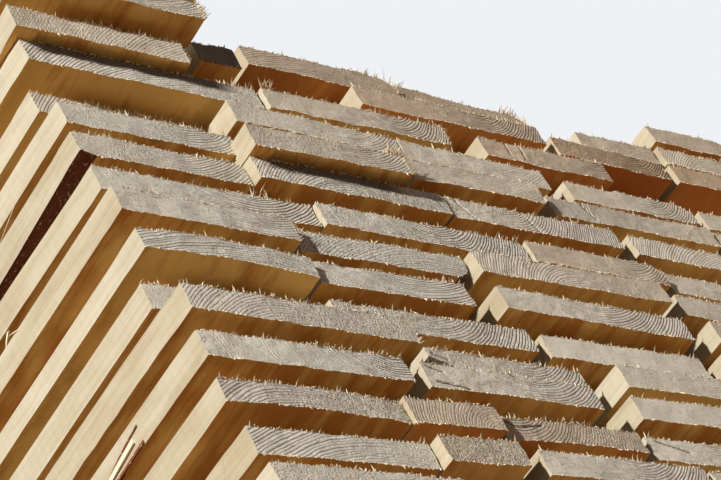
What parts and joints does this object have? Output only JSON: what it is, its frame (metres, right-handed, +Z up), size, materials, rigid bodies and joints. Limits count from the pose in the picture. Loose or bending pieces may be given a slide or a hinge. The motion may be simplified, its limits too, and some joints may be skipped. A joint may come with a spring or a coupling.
{
  "type": "stack of lumber",
  "caption": "Rough-sawn boards piled in layers with thin stickers between them for air drying, resting on square timber bearers.",
  "frame": {"origin": "under the middle of the whole stack, on the floor that the bearers stand on", "axes": "+Y along the boards, from the near ends to the far ends; +X across the boards, +Z up"},
  "size_m": [1.206, 4.023, 1.568],
  "materials": {
    "sawn_board": "rough sawn, unplaned softwood, dry",
    "sticker": "rough sawn lath, darkened by use",
    "bearer": "rough sawn squared timber, weathered"
  },
  "bodies": {
    "root": {"bearer_1": "bearer", "bearer_2": "bearer", "bearer_3": "bearer", "bearer_4": "bearer", "bearer_5": "bearer", "board_layer_01": "sawn_board", "board_layer_02": "sawn_board", "board_layer_03": "sawn_board", "board_layer_04": "sawn_board", "board_layer_05": "sawn_board", "board_layer_06": "sawn_board", "board_layer_07": "sawn_board", "board_layer_08": "sawn_board", "board_layer_09": "sawn_board", "board_layer_10": "sawn_board", "board_layer_11": "sawn_board", "board_layer_12": "sawn_board", "board_layer_13": "sawn_board", "board_layer_14": "sawn_board", "board_layer_15": "sawn_board", "board_layer_16": "sawn_board", "board_layer_17": "sawn_board", "board_layer_18": "sawn_board", "board_layer_19": "sawn_board", "board_layer_20": "sawn_board", "board_layer_21": "sawn_board", "board_layer_22": "sawn_board", "board_layer_23": "sawn_board", "board_layer_24": "sawn_board", "board_layer_25": "sawn_board", "board_layer_26": "sawn_board", "board_layer_27": "sawn_board", "board_layer_28": "sawn_board", "board_layer_29": "sawn_board", "board_layer_30": "sawn_board", "board_layer_31": "sawn_board", "board_layer_32": "sawn_board", "board_layer_33": "sawn_board", "board_layer_34": "sawn_board", "board_layer_35": "sawn_board", "board_layer_36": "sawn_board", "board_layer_37": "sawn_board", "board_layer_38": "sawn_board", "sticker_row_1": "sticker", "sticker_row_2": "sticker", "sticker_row_3": "sticker", "sticker_row_4": "sticker", "sticker_row_5": "sticker", "sticker_row_6": "sticker", "sticker_row_7": "sticker"}
  },
  "joints": []
}
